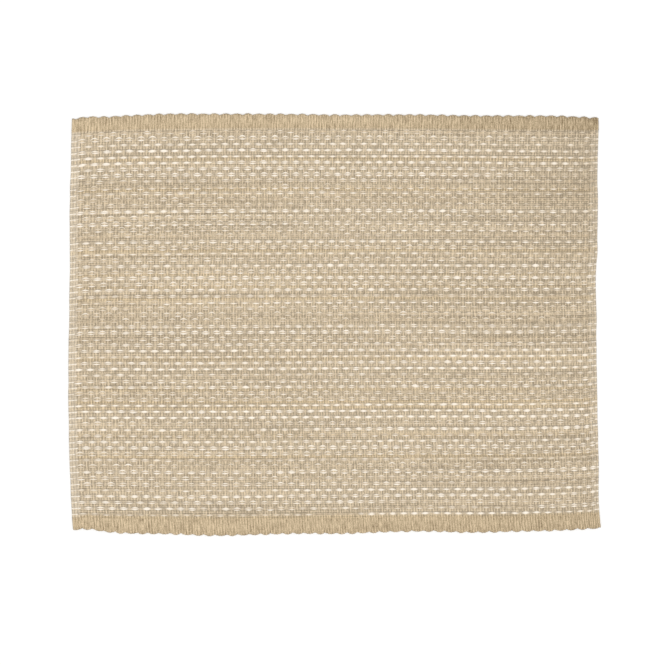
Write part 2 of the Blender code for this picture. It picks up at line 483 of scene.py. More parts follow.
@dataclass(frozen=True)
class YarnChart:
    """How white the weft's two strands are, how far they part, and the painted shade towards the top
    right corner, all over the mat.
    """

    plan: WeavePlan
    change_length: float = 0.012
    drift_share: float = 0.13
    drifts: tuple[Unevenness, Unevenness] = (
        Unevenness(seed=21, cell_x=0.045, cell_y=0.0051),
        Unevenness(seed=22, cell_x=0.038, cell_y=0.0051),
    )
    parting_drift: Unevenness = Unevenness(seed=23, cell_x=0.030, cell_y=0.0051)
    parting_share: float = 0.2
    widest_parting: float = 1.2
    white_tone: float = 0.76
    tone_curve: float = 0.55
    # Painted shade towards the top right corner: where it starts across, its offset up the mat, its
    # share at the bottom, and how much it takes off the weft and the warp.
    shade_start: float = -0.05
    shade_middle: float = 0.1
    shade_below: float = 0.4
    weft_dulling: float = 0.47
    warp_dulling: float = 0.23

    def marks(self, ply: Ply, row: np.ndarray, x: np.ndarray) -> np.ndarray:
        """Whiteness that the chart gives, from 0 to 1."""
        chart = UPPER_STRAND if ply is Ply.UPPER else LOWER_STRAND
        white = np.array([int(mark) for mark in chart])[row].astype(float)
        for change in YARN_CHANGES:
            past = np.clip((x - change.x * MM) / self.change_length + 0.5, 0.0, 1.0)
            share = past * (row == change.row - 1)
            mark = change.upper if ply is Ply.UPPER else change.lower
            white = white + (mark - white) * share
        return white / FULL_MARK

    def whiteness(self, ply: Ply, row: np.ndarray, x: np.ndarray) -> np.ndarray:
        """Read the chart for one strand.

        Args:
            ply: Which strand.
            row: Weft rows, counted from 0 at the top.
            x: Mean places along them, of the same shape.

        Returns:
            Whiteness from 0 to 1 at each place.
        """
        drift = self.drifts[0 if ply is Ply.UPPER else 1].at(x, self.plan.row_y(row))
        return np.clip(self.marks(ply, row, x) + self.drift_share * drift, 0.0, 1.0)

    def corner_shade(self, x: np.ndarray, y: np.ndarray) -> np.ndarray:
        """Painted shade over all yarns, from 0 on the left to 1 in the top right corner."""
        across = np.clip((x - self.shade_start) / (self.plan.width / 2 - self.shade_start), 0.0, 1.0)
        up = np.clip(self.shade_middle + y / self.plan.depth * 2, 0.0, 1.0)
        return across ** 2 * (self.shade_below + (1 - self.shade_below) * up)

    def tone(self, white: np.ndarray, x: np.ndarray, y: np.ndarray) -> np.ndarray:
        """Tone of a strand: even slightly whiter yarn stands out from the warp. The painted shade
        towards the top right corner is taken off it.
        """
        return self.white_tone * white ** self.tone_curve - self.weft_dulling * self.corner_shade(x, y)

    def mean_whiteness(self, row: np.ndarray, x: np.ndarray) -> np.ndarray:
        """Whiteness of the weft where its strands can't be told apart."""
        return (self.whiteness(Ply.UPPER, row, x) + self.whiteness(Ply.LOWER, row, x)) / 2

    def parting(self, row: np.ndarray, x: np.ndarray) -> np.ndarray:
        """How far the strands part, from 0 to about 1."""
        chart = np.array([int(mark) for mark in PARTING]) / FULL_MARK
        drift = self.parting_drift.at(x, self.plan.row_y(row))
        return np.clip(chart[row] + self.parting_share * drift, 0.0, self.widest_parting)


def math_node(tree: bpy.types.NodeTree, operation: str, *values: object) -> Socket:
    """Add a Math node.

    Args:
        tree: Where to add it.
        operation: What it does.
        values: Sockets to link or numbers to set, in the node's order.

    Returns:
        The node's output.
    """
    node = tree.nodes.new("ShaderNodeMath")
    node.operation = operation
    for socket, value in zip(node.inputs, values):
        if isinstance(value, Socket):
            tree.links.new(value, socket)
        else:
            socket.default_value = value
    return node.outputs[0]


class ShaderGroups:
    """Shader node groups that more than one finish uses, each built once."""

    FIBRES = "cotton_fibres"
    TWIST = "yarn_twist"
    FIBRE_DETAIL = 2.0

    @staticmethod
    def start(name: str, inputs: dict[str, str], output: str) -> bpy.types.ShaderNodeTree:
        """Start a group that gives one number.

        Args:
            name: The group's name.
            inputs: Kind of each input socket, by its name.
            output: Name of the output.

        Returns:
            The group, with its sockets.
        """
        tree = bpy.data.node_groups.new(name, "ShaderNodeTree")
        for label, kind in inputs.items():
            tree.interface.new_socket(label, in_out="INPUT", socket_type=kind)
        tree.interface.new_socket(output, in_out="OUTPUT", socket_type="NodeSocketFloat")
        return tree

    @classmethod
    def fibres(cls) -> bpy.types.ShaderNodeTree:
        """Fine fibres drawn out along the yarn: Vector, Fineness and Drawn in, Strength out."""
        if cls.FIBRES in bpy.data.node_groups:
            return bpy.data.node_groups[cls.FIBRES]
        vector, number = "NodeSocketVector", "NodeSocketFloat"
        inputs = {"Vector": vector, "Fineness": number, "Drawn": vector}
        tree = cls.start(cls.FIBRES, inputs, "Strength")
        nodes, links = tree.nodes, tree.links
        start = nodes.new("NodeGroupInput")
        end = nodes.new("NodeGroupOutput")
        stretch = nodes.new("ShaderNodeVectorMath")
        stretch.operation = "MULTIPLY"
        noise = nodes.new("ShaderNodeTexNoise")
        noise.inputs["Detail"].default_value = cls.FIBRE_DETAIL
        links.new(start.outputs["Vector"], stretch.inputs[0])
        links.new(start.outputs["Drawn"], stretch.inputs[1])
        links.new(stretch.outputs[0], noise.inputs["Vector"])
        links.new(start.outputs["Fineness"], noise.inputs["Scale"])
        links.new(noise.outputs["Fac"], end.inputs["Strength"])
        return tree

    @classmethod
    def twist(cls) -> bpy.types.ShaderNodeTree:
        """Plies laid round a yarn mapped by length and girth: Vector, Lay and Plies in, Height out."""
        if cls.TWIST in bpy.data.node_groups:
            return bpy.data.node_groups[cls.TWIST]
        vector, number = "NodeSocketVector", "NodeSocketFloat"
        tree = cls.start(cls.TWIST, {"Vector": vector, "Lay": number, "Plies": number}, "Height")
        start = tree.nodes.new("NodeGroupInput")
        end = tree.nodes.new("NodeGroupOutput")
        split = tree.nodes.new("ShaderNodeSeparateXYZ")
        tree.links.new(start.outputs["Vector"], split.inputs[0])
        along = math_node(tree, "DIVIDE", split.outputs["X"], start.outputs["Lay"])
        around = math_node(tree, "MULTIPLY", split.outputs["Y"], start.outputs["Plies"])
        angle = math_node(tree, "MULTIPLY", math_node(tree, "ADD", along, around), 2 * math.pi)
        height = math_node(tree, "MULTIPLY_ADD", math_node(tree, "SINE", angle), 0.5, 0.5)
        tree.links.new(height, end.inputs["Height"])
        return tree


class MaterialMaker:
    """A new material with its shader, and short ways to wire it."""

    SHEEN_ROUGHNESS = 0.6

    def __init__(self, name: str, roughness: float, sheen: float = 0.0) -> None:
        """Start a material.

        Args:
            name: The material's name.
            roughness: Roughness all over.
            sheen: Weight of the soft sheen of loose fibres.
        """
        self.material = bpy.data.materials.new(name)
        self.material.use_nodes = True
        self.tree = self.material.node_tree
        self.shader = self.tree.nodes["Principled BSDF"]
        self.shader.inputs["Roughness"].default_value = roughness
        self.shader.inputs["Sheen Weight"].default_value = sheen
        self.shader.inputs["Sheen Roughness"].default_value = self.SHEEN_ROUGHNESS

    def compute(self, operation: str, *values: object, clamp: bool = False) -> Socket:
        """Work a number out of sockets and numbers, held from 0 to 1 if clamp is true."""
        output = math_node(self.tree, operation, *values)
        output.node.use_clamp = clamp
        return output

    def swing(self, value: Socket, shade: float) -> Socket:
        """Turn a value from 0 to 1 into a tone that swings evenly about 0, by shade in all."""
        return self.compute("MULTIPLY_ADD", value, shade, -shade / 2)

    def point(self, x: Socket, y: Socket) -> Socket:
        """Join an X and a Y into a place."""
        node = self.tree.nodes.new("ShaderNodeCombineXYZ")
        self.tree.links.new(x, node.inputs["X"])
        self.tree.links.new(y, node.inputs["Y"])
        return node.outputs[0]

    def fibres(self, place: Socket, drawn: Triple, fineness: float = 1.0) -> Socket:
        """Fibres at a place, with the fineness that drawn gives along each axis."""
        return self.group(ShaderGroups.fibres(), Vector=place, Fineness=fineness, Drawn=drawn)

    def map(self, layer: str) -> Socket:
        """The piece's own UV map."""
        node = self.tree.nodes.new("ShaderNodeUVMap")
        node.uv_map = layer
        return node.outputs["UV"]

    def attribute(self, name: str) -> Socket:
        """A number kept on the piece's points."""
        node = self.tree.nodes.new("ShaderNodeAttribute")
        node.attribute_name = name
        return node.outputs["Fac"]

    def group(self, tree: bpy.types.ShaderNodeTree, **values: object) -> Socket:
        """Place a node group.

        Args:
            tree: The group.
            values: Sockets to link or values to set, by the inputs' names.

        Returns:
            The group's only output.
        """
        node = self.tree.nodes.new("ShaderNodeGroup")
        node.node_tree = tree
        for name, value in values.items():
            if isinstance(value, Socket):
                self.tree.links.new(value, node.inputs[name])
            else:
                node.inputs[name].default_value = value
        return node.outputs[0]

    def mix(self, share: Socket, low: object, high: object) -> Socket:
        """Mix two colours.

        Args:
            share: Where between them, from 0 to 1.
            low: Linear colour at 0, or a socket that gives it.
            high: Linear colour at 1, or a socket that gives it.

        Returns:
            The mixed colour.
        """
        node = self.tree.nodes.new("ShaderNodeMix")
        node.data_type = "RGBA"
        node.clamp_factor = True
        self.tree.links.new(share, node.inputs["Factor"])
        for name, colour in (("A", low), ("B", high)):
            socket = next(each for each in node.inputs if each.name == name and each.type == "RGBA")
            if isinstance(colour, Socket):
                self.tree.links.new(colour, socket)
            else:
                socket.default_value = (*colour, 1.0)
        return next(each for each in node.outputs if each.type == "RGBA")

    def colour(self, share: Socket, low: object, high: object) -> None:
        """Colour the shader between two colours, given as for mix."""
        self.tree.links.new(self.mix(share, low, high), self.shader.inputs["Base Color"])

    def bump(self, height: Socket, distance: float, strength: float) -> None:
        """Raise fine relief on the shader.

        Args:
            height: Height from 0 to 1.
            distance: Real height of 1, in metres.
            strength: Share of it that shows.
        """
        node = self.tree.nodes.new("ShaderNodeBump")
        node.inputs["Distance"].default_value = distance
        node.inputs["Strength"].default_value = strength
        self.tree.links.new(height, node.inputs["Height"])
        self.tree.links.new(node.outputs["Normal"], self.shader.inputs["Normal"])


@dataclass(frozen=True)
class WarpCotton:
    """Finish of the warp: matt beige cotton in fine uneven yarns, side by side in each rib.

    Painted shade darkens the gaps between the ribs and the grooves between the
    yarns, and fine dark lines of painted shade run beside the rows, where the ribs
    bend round the weft; faint long lines run where a yarn's dye differs. A few rows
    look more golden. Some of the weft's white shows through between the yarns.
    """

    # Colours at tone 0, the painted shade of the gaps, and at tone 1, the crowns, plain and golden.
    gap_shade: Triple = (0.200, 0.140, 0.070)
    light: Triple = (0.745, 0.588, 0.383)
    golden_gap_shade: Triple = (0.214, 0.140, 0.056)
    golden_light: Triple = (0.776, 0.588, 0.336)
    weft_white: Triple = (0.880, 0.810, 0.690)
    roughness: float = 0.9
    sheen: float = 0.1
    yarns_per_rib: float = 3.0
    rib_pitch: float = 0.002342
    # yarn_shade paints shade in the grooves between a rib's yarns.
    yarn_shade: float = 0.04
    fibre_shade: float = 0.16
    fibre_drawn: Triple = (3600.0, 900.0, 1.0)
    slub_shade: float = 1.30
    slub_drawn: Triple = (1200.0, 900.0, 1.0)
    streak_shade: float = 1.60
    streak_drawn: Triple = (1300.0, 150.0, 1.0)
    # Painted shade lines beside the rows: where each lies between one row and the next and how dark,
    # how wide, how broken and how finely.
    crimp_shade_places: tuple[Pair, ...] = ((0.76, 0.40), (0.07, 0.24))
    crimp_width: float = 0.14
    crimp_breaks: float = 3.5
    crimp_drawn: Triple = (260.0, 7.3, 1.0)
    line_shade: float = 1.5
    line_drawn: Triple = (3.5, 7.0, 1.0)
    weft_in_rows: float = 0.14
    relief: float = 0.12 * MM
    relief_shows: float = 0.6
    fibre_relief: float = 0.6

    def crimp_shade(self, maker: MaterialMaker, x: Socket, middle: float) -> tuple[Socket, Socket]:
        """A dark line of painted shade beside every row, where the ribs bend into it, deeper in some
        rows and broken along them.

        Args:
            maker: The material in the making.
            x: Mean X on the cloth.
            middle: Where the line lies between one row and the next, from 0 to 1.

        Returns:
            How near the line's middle is, and how dark the line is there.
        """
        through_rows = maker.compute("ADD", maker.attribute("phase"), 0.5 - middle)
        off = maker.compute("SUBTRACT", maker.compute("FRACT", through_rows), 0.5)
        near = maker.compute(
            "MULTIPLY_ADD", maker.compute("ABSOLUTE", off), -1 / self.crimp_width, 1.0, clamp=True)
        row = maker.compute("ADD", maker.compute("FLOOR", through_rows), middle)
        dice = maker.tree.nodes.new("ShaderNodeTexWhiteNoise")
        dice.noise_dimensions = "1D"
        maker.tree.links.new(row, dice.inputs["W"])
        fibre = maker.fibres(maker.point(x, row), self.crimp_drawn)
        broken = maker.compute(
            "MULTIPLY_ADD", fibre, self.crimp_breaks, 0.5 - self.crimp_breaks / 2, clamp=True)
        return near, maker.compute("ADD", dice.outputs["Value"], broken)

    def material(self) -> bpy.types.Material:
        """Build the material."""
        maker = MaterialMaker("ribbed_cotton_warp", self.roughness, self.sheen)
        place = maker.map("weave")
        split = maker.tree.nodes.new("ShaderNodeSeparateXYZ")
        maker.tree.links.new(place, split.inputs[0])
        x = split.outputs["X"]
        turns = maker.compute("MULTIPLY", x, 2 * math.pi * self.yarns_per_rib / self.rib_pitch)
        yarn = maker.compute("MULTIPLY_ADD", maker.compute("COSINE", turns), -0.5, 0.5)
        fibre = maker.fibres(place, self.fibre_drawn)
        line = maker.fibres(maker.point(x, maker.attribute("phase")), self.line_drawn)
        in_rows = maker.compute("MULTIPLY", maker.attribute("weft"), 1 / self.weft_in_rows, clamp=True)
        tone = maker.attribute("tone")
        for shade in (
            maker.swing(maker.fibres(place, self.slub_drawn), self.slub_shade),
            maker.swing(maker.fibres(place, self.streak_drawn), self.streak_shade),
            maker.swing(yarn, self.yarn_shade),
            maker.swing(fibre, self.fibre_shade),
            maker.compute("MULTIPLY", maker.swing(line, self.line_shade), in_rows),
        ):
            tone = maker.compute("ADD", tone, shade)
        # Painted shade lines beside the rows.
        for middle, depth in self.crimp_shade_places:
            near, dark = self.crimp_shade(maker, x, middle)
            tone = maker.compute("MULTIPLY_ADD", near, maker.compute("MULTIPLY", dark, -depth), tone)
        # Low tones take the painted shade colour of the gaps.
        plain = maker.mix(tone, self.gap_shade, self.light)
        golden = maker.mix(tone, self.golden_gap_shade, self.golden_light)
        dyed = maker.mix(maker.attribute("gold"), plain, golden)
        maker.colour(maker.attribute("weft"), dyed, self.weft_white)
        yarn_height = maker.compute("MULTIPLY", yarn, 1 - self.fibre_relief)
        height = maker.compute("MULTIPLY_ADD", fibre, self.fibre_relief, yarn_height)
        maker.bump(height, self.relief, self.relief_shows)
        return maker.material


@dataclass(frozen=True)
class WeftCotton:
    """Finish of the weft: soft two-ply cotton, from the warp's beige to bleached white."""

    beige: Triple = (0.620, 0.500, 0.340)
    white: Triple = (0.975, 0.890, 0.770)
    roughness: float = 0.85
    sheen: float = 0.15
    lay: float = 0.0016
    plies: float = 2.0
    # twist_shade paints shade in the grooves between the plies.
    twist_shade: float = 0.12
    fibre_shade: float = 0.50
    fibre_drawn: Triple = (1600.0, 9.0, 1.0)
    relief: float = 0.10 * MM
    relief_shows: float = 0.6
    fibre_relief: float = 0.35

    def material(self) -> bpy.types.Material:
        """Build the material."""
        maker = MaterialMaker("ribbed_cotton_weft", self.roughness, self.sheen)
        place = maker.map("strand")
        twist = maker.group(ShaderGroups.twist(), Vector=place, Lay=self.lay, Plies=self.plies)
        fibre = maker.fibres(place, self.fibre_drawn)
        shade = maker.compute(
            "ADD", maker.swing(twist, self.twist_shade), maker.swing(fibre, self.fibre_shade))
        maker.colour(maker.compute("ADD", maker.attribute("tone"), shade), self.beige, self.white)
        twist_height = maker.compute("MULTIPLY", twist, 1 - self.fibre_relief)
        height = maker.compute("MULTIPLY_ADD", fibre, self.fibre_relief, twist_height)
        maker.bump(height, self.relief, self.relief_shows)
        return maker.material


@dataclass(frozen=True)
class SewingThread:
    """Finish of the hems' thread: fine, tight and a little glossier than the cloth."""

    shadow: Triple = (0.44, 0.34, 0.21)
    light: Triple = (0.62, 0.50, 0.34)
    roughness: float = 0.6
    lay: float = 0.0009
    plies: float = 3.0
    relief: float = 0.05 * MM
    relief_shows: float = 0.5

    def material(self) -> bpy.types.Material:
        """Build the material."""
        maker = MaterialMaker("hem_thread", self.roughness)
        place = maker.map("strand")
        twist = maker.group(ShaderGroups.twist(), Vector=place, Lay=self.lay, Plies=self.plies)
        maker.colour(twist, self.shadow, self.light)
        maker.bump(twist, self.relief, self.relief_shows)
        return maker.material


@dataclass(frozen=True)
class PaleFloor:
    """Finish of the floor: even matt white with the faintest mottle."""

    low: Triple = (0.955, 0.955, 0.955)
    high: Triple = (0.975, 0.975, 0.975)
    roughness: float = 0.95
    fineness: float = 4.0

    def material(self) -> bpy.types.Material:
        """Build the material."""
        maker = MaterialMaker("pale_floor", self.roughness)
        place = maker.tree.nodes.new("ShaderNodeTexCoord").outputs["Object"]
        maker.colour(maker.fibres(place, (1.0, 1.0, 1.0), self.fineness), self.low, self.high)
        return maker.material


@dataclass
class Piece:
    """One mesh piece in the making."""

    name: str
    points: np.ndarray
    faces: np.ndarray
    corner_map: np.ndarray
    shades: dict[str, np.ndarray]
    map_name: str
    slot: str = "ribbed_cotton"

    def build(self, material: bpy.types.Material) -> bpy.types.Object:
        """Make the object.

        Args:
            material: The piece's finish.

        Returns:
            The object, riding on the mat's body.
        """
        mesh = bpy.data.meshes.new(self.name)
        mesh.from_pydata(self.points.reshape(-1, 3), [], self.faces)
        layer = mesh.uv_layers.new(name=self.map_name)
        layer.data.foreach_set("uv", self.corner_map.astype(np.float32).ravel())
        for name, values in self.shades.items():
            shade = mesh.attributes.new(name, "FLOAT", "POINT")
            shade.data.foreach_set("value", values.astype(np.float32).ravel())
        mesh.shade_smooth()
        mesh.materials.append(material)
        made = bpy.data.objects.new(self.name, mesh)
        bpy.context.scene.collection.objects.link(made)
        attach(made, "root")
        LOG.info("%s: %d triangles", self.name, len(self.faces))
        return made


@dataclass(frozen=True)
class Strands:
    """Many short runs of yarn of one shape, each closed at both ends."""

    centres: np.ndarray
    radii: np.ndarray
    tone: np.ndarray
    sides: int = 6
    upright: Triple = (0.0, 0.0, 1.0)
    start_step: float = 0.0137

    def piece(self, name: str) -> Piece:
        """Lay the runs out as one piece.

        Args:
            name: The piece's name.

        Returns:
            The piece, with its length and girth mapped in metres and turns.
        """
        count, stations = self.centres.shape[:2]
        tangent = np.gradient(self.centres, axis=1)
        tangent /= np.linalg.norm(tangent, axis=-1, keepdims=True)
        side = np.cross(tangent, np.array(self.upright))
        side /= np.linalg.norm(side, axis=-1, keepdims=True)
        rise = np.cross(side, tangent)
        angles = 2 * math.pi * np.arange(self.sides) / self.sides
        around = (
            side[:, 1:-1, None] * np.cos(angles)[:, None]
            + rise[:, 1:-1, None] * np.sin(angles)[:, None]
        )
        rings = self.centres[:, 1:-1, None] + around * self.radii[:, 1:-1, None, None]
        each = 2 + (stations - 2) * self.sides
        points = np.concatenate(
            [self.centres[:, :1], rings.reshape(count, -1, 3), self.centres[:, -1:]], axis=1
        )
        pattern, turns, station = self.pattern(stations)
        faces = (pattern[None] + each * np.arange(count)[:, None, None]).reshape(-1, 3)
        steps = np.linalg.norm(np.diff(self.centres, axis=1), axis=-1)
        length = np.concatenate([np.zeros((count, 1)), np.cumsum(steps, axis=1)], axis=1)
        start = np.arange(count)[:, None] * self.start_step
        along = (length + start)[:, station.ravel()]
        corner_map = np.stack([along, np.broadcast_to(turns.ravel(), along.shape)], axis=-1)
        tone = self.tone if self.tone.ndim == 2 else np.repeat(self.tone[:, None], stations, axis=1)
        on_rings = np.repeat(tone[:, 1:-1], self.sides, axis=1)
        tone = np.concatenate([tone[:, :1], on_rings, tone[:, -1:]], axis=1)
        return Piece(name, points, faces, corner_map, {"tone": tone}, "strand")

    def pattern(self, stations: int) -> tuple[np.ndarray, np.ndarray, np.ndarray]:
        """Triangles of one run.

        Args:
            stations: Places along it, both ends among them.

        Returns:
            The triangles' points, and for each corner its turn and its station.
        """
        triangles, turns, places = [], [], []
        last = 1 + (stations - 2) * self.sides

        def add(*corners: tuple[int, int]) -> None:
            """Add a triangle whose corners are a station and a side each."""
            ids = []
            for place, spoke in corners:
                if place == 0:
                    ids.append(0)
                elif place == stations - 1:
                    ids.append(last)
                else:
                    ids.append(1 + (place - 1) * self.sides + spoke % self.sides)
            triangles.append(ids)
            turns.append([spoke / self.sides for _, spoke in corners])
            places.append([place for place, _ in corners])

        for spoke in range(self.sides):
            add((0, spoke), (1, spoke), (1, spoke + 1))
            for place in range(1, stations - 2):
                add((place, spoke), (place + 1, spoke), (place, spoke + 1))
                add((place, spoke + 1), (place + 1, spoke), (place + 1, spoke + 1))
            add((stations - 1, spoke), (stations - 2, spoke + 1), (stations - 2, spoke))
        return np.array(triangles), np.array(turns), np.array(places)


@dataclass(frozen=True)
class RingPlace:
    """One place on the way round the cloth's section.

    crown is the Y and Z of a rib's top there. gap is that of the dip between
    two ribs, or None where the dip runs on straight. middle is the height of
    the middle of the layer that the place lies on. follow is the share of the
    hem's scallops that it follows, row is the weft row that it lies at, and
    phase counts the rows from the bottom joint up, for the lines beside them.
    tones are those of the crown and of the gap; the lower tone of the gap is painted shade.
    """

    crown: Pair
    gap: Pair | None
    middle: float
    follow: float = 0.0
    row: int | None = None
    on_face: bool = True
    phase: float = 0.0
    tones: Pair = (1.0, 0.5)


@dataclass
class Cloth:
    """The woven cloth with its ribs, and both hems turned under."""

    plan: WeavePlan
    chart: YarnChart
    finish: WarpCotton = field(default_factory=WarpCotton)
    rib_height: float = 2.15 * MM
    gap_height: float = 1.55 * MM
    row_gap_height: float = 1.60 * MM
    over_height: float = 2.20 * MM
    under_height: float = 1.45 * MM
    middle_height: float = 1.75 * MM
    selvedge_dip: float = 1.75 * MM
    body_middle: float = 1.0 * MM
    back_rib: float = 0.12 * MM
    back_gap: float = 0.50 * MM
    back_over: float = 0.70 * MM
    hem_height: float = 2.30 * MM
    hem_layer: float = 1.0 * MM
    hem_gap: float = 0.30 * MM
    hem_relief: float = 0.42 * MM
    fold_nose: float = 2.0 * MM
    cut_edge_groove: float = 0.9 * MM
    stitch_line: float = 1.0 * MM
    stitch_heights: Pair = (1.98 * MM, 1.62 * MM)
    stitch_width: float = 0.9 * MM
    hem_bulge: float = 0.06 * MM
    fold_angles: tuple[int, ...] = (90, 45, 0, -45, -90)
    fold_relief: float = 0.7
    turned_relief: float = 0.9
    cut_edge_round: float = 0.2 * MM
    cut_edge_low: float = 0.05 * MM
    cut_edge_heights: Pair = (0.35 * MM, 0.45 * MM)
    slit_mouth: float = 0.8 * MM
    selvedge_relief: float = 0.5
    rows_per_gap: int = 2
    plain_phases: Pair = (0.42, -0.10)
    streaks: Unevenness = Unevenness(seed=31, cell_x=0.0035, cell_y=0.045)
    streak_shade: float = 0.05
    bands: Unevenness = Unevenness(seed=32, cell_x=0.060, cell_y=0.0052)
    band_shade: float = 0.06
    grain_seed: int = 33
    grain: float = 0.20
    hem_grain: float = 0.13
    # Tones of each place's crown and gap, and of ribs over or beside the weft. The gaps' lower tones,
    # the lower tones of ribs sunk at a row, on the selvedges and inside the slit, and the fold's lower
    # tones where it turns away are painted shade.
    band_tones: Pair = (0.90, 0.28)
    row_tones: Pair = (0.57, 0.37)
    stitch_tones: Pair = (0.77, 0.44)
    hem_tones: Pair = (0.755, 0.485)
    fold_tones: Pair = (0.40, 0.71)
    fold_gap_drop: float = 0.35
    turned_tones: Pair = (1.0, 0.6)
    round_tones: Pair = (0.9, 0.5)
    cut_edge_tones: Pair = (0.8, 0.5)
    slit_tones: Pair = (0.6, 0.6)
    back_band_tones: Pair = (1.0, 0.24)
    back_row_tones: Pair = (0.95, 0.5)
    over_tone: float = 0.76
    # A painted highlight on the rib crown under each float's middle.
    middle_highlight: float = 1.1
    selvedge_tone: float = 0.72
    selvedge_lift: float = -0.02
    selvedge_weft: Pair = (0.16, 0.08)
    crown_weft: float = 0.09
    gap_weft: float = 0.22
    body_weft: float = 0.14
    float_weft: float = 0.30

    @property
    def hem_half(self) -> float:
        """Radius of the fold."""
        return self.hem_height / 2

    def joint(self, hem: Hem) -> float:
        """Mean Y where a hem's cloth meets the rows."""
        row = 0 if hem is Hem.TOP else self.plan.rows - 1
        return float(self.plan.row_y(row)) + hem.value * self.plan.row_pitch / 2

    def cut(self, hem: Hem) -> float:
        """Mean Y of a hem's cut edge underneath."""
        return self.joint(hem) + hem.value * self.cut_edge_groove

    def face(self) -> list[RingPlace]:
        """Places over the rows, from the bottom hem to the top hem."""
        places = []
        for number in range(self.plan.rows):
            row = self.plan.rows - 1 - number
            y = float(self.plan.row_y(row))
            places.append(self.band(y - self.plan.row_pitch / 2, number))
            places.append(RingPlace(
                (y, self.under_height), (y, self.row_gap_height), self.body_middle, row=row,
                phase=number + 0.5, tones=self.row_tones,
            ))
        return [*places, self.band(self.joint(Hem.TOP), self.plan.rows)]

    def band(self, y: float, phase: float) -> RingPlace:
        """Place on the face between two rows, where the ribs stand highest."""
        crown, gap = (y, self.rib_height), (y, self.gap_height)
        return RingPlace(crown, gap, self.body_middle, phase=phase, tones=self.band_tones)

    def hem_phase(self, hem: Hem) -> float:
        """Phase of a hem's plain cloth, clear of the dark lines between the rows."""
        past_top, before_bottom = self.plain_phases
        return self.plan.rows + past_top if hem is Hem.TOP else before_bottom

    def fold(self, hem: Hem) -> list[RingPlace]:
        """Places over a hem's face and round its fold to the cut edge underneath."""
        side = hem.value
        cut, edge = self.cut(hem), side * self.plan.depth / 2
        top, half, relief = self.hem_height, self.hem_half, self.hem_relief
        upper = top - self.hem_layer / 2
        lower = self.hem_layer / 2
        stitch = self.joint(hem) + side * self.stitch_line
        middle = (stitch + edge) / 2
        past_stitch = stitch + side * self.stitch_width
        crown_z, gap_z = self.stitch_heights
        bulge = top + self.hem_bulge
        places = [
            RingPlace((stitch, crown_z), (stitch, gap_z), upper, tones=self.stitch_tones),
            RingPlace((past_stitch, top), None, upper, tones=self.stitch_tones),
            RingPlace((middle, bulge), (middle, top - relief), upper, tones=self.hem_tones),
        ]
        for degrees in self.fold_angles:
            angle = math.radians(degrees)
            inset = half * (1 - math.cos(angle))
            crown = (edge - side * inset, half * (1 + math.sin(angle)))
            radius = half - relief * self.fold_relief
            gap = (edge - side * (half - radius * math.cos(angle)), half + radius * math.sin(angle))
            # Painted shade: the fold darker as it turns away from above, and its gap darker still.
            tone = between(self.fold_tones, max(math.sin(angle), 0.0))
            places.append(RingPlace(
                crown, gap, half, follow=0.5 + 0.5 * math.cos(angle),
                on_face=degrees > 0, tones=(tone, tone - self.fold_gap_drop),
            ))
        turned, turned_gap = (edge + cut) / 2, relief * self.turned_relief
        round_y = cut + side * self.cut_edge_round
        crown_z, gap_z = self.cut_edge_heights
        places += [
            RingPlace((turned, 0.0), (turned, turned_gap), lower, tones=self.turned_tones),
            RingPlace((round_y, self.cut_edge_low), (round_y, relief), lower, tones=self.round_tones),
            RingPlace((cut, crown_z), (cut, gap_z), lower, tones=self.cut_edge_tones),
        ]
        return [replace(place, phase=self.hem_phase(hem)) for place in places]

    def slit(self, hem: Hem) -> list[RingPlace]:
        """Places in the slit between a hem's two layers, from the cut edge back to the rows."""
        side = hem.value
        joint, cut = self.joint(hem), self.cut(hem)
        nose = side * (self.plan.depth / 2 - self.fold_nose)
        inside = nose - side * self.hem_gap / 2
        low, high = self.hem_layer, self.hem_layer + self.hem_gap
        lower, upper = self.hem_layer / 2, self.hem_height - self.hem_layer / 2
        spots = (
            (cut, self.slit_mouth, lower),
            (cut + side * self.cut_edge_round, low, lower),
            (inside, low, lower),
            (nose, low + self.hem_gap / 2, self.hem_half),
            (inside, high, upper),
            (joint, high, upper),
        )
        return [
            RingPlace((y, z), (y, z), middle, phase=self.hem_phase(hem), tones=self.slit_tones)
            for y, z, middle in spots
        ]

    def underside(self) -> list[RingPlace]:
        """Places under the rows, from the top hem to the bottom hem."""
        middle, tones = self.body_middle, self.back_band_tones
        places = []
        for row in range(self.plan.rows):
            y = float(self.plan.row_y(row))
            phase = self.plan.rows - row
            band = y + self.plan.row_pitch / 2
            gap = (band, self.back_gap) if row % self.rows_per_gap == 0 else None
            places += [
                RingPlace((band, self.back_rib), gap, middle, phase=phase, tones=tones),
                RingPlace(
                    (y, 0.0), None, middle, row=row, on_face=False,
                    phase=phase - 0.5, tones=self.back_row_tones,
                ),
            ]
        end = self.joint(Hem.BOTTOM)
        places.append(RingPlace((end, self.back_rib), (end, self.back_gap), middle, tones=tones))
        return places

    def crown_heights(self, places: list[RingPlace]) -> np.ndarray:
        """Height of every rib's crown.

        Args:
            places: The ring's places.

        Returns:
            Heights, a row for each place and a column for each rib.
        """
        heights = np.empty((len(places), self.plan.ribs))
        for number, place in enumerate(places):
            heights[number] = place.crown[1]
            if place.row is None:
                continue
            over = self.plan.over(place.row)
            heights[number, over] = self.over_height if place.on_face else self.back_over
            if place.on_face:
                heights[number, self.plan.beaded(place.row)] = self.selvedge_dip
                heights[number, self.plan.float_middles(place.row)] = self.middle_height
        return heights

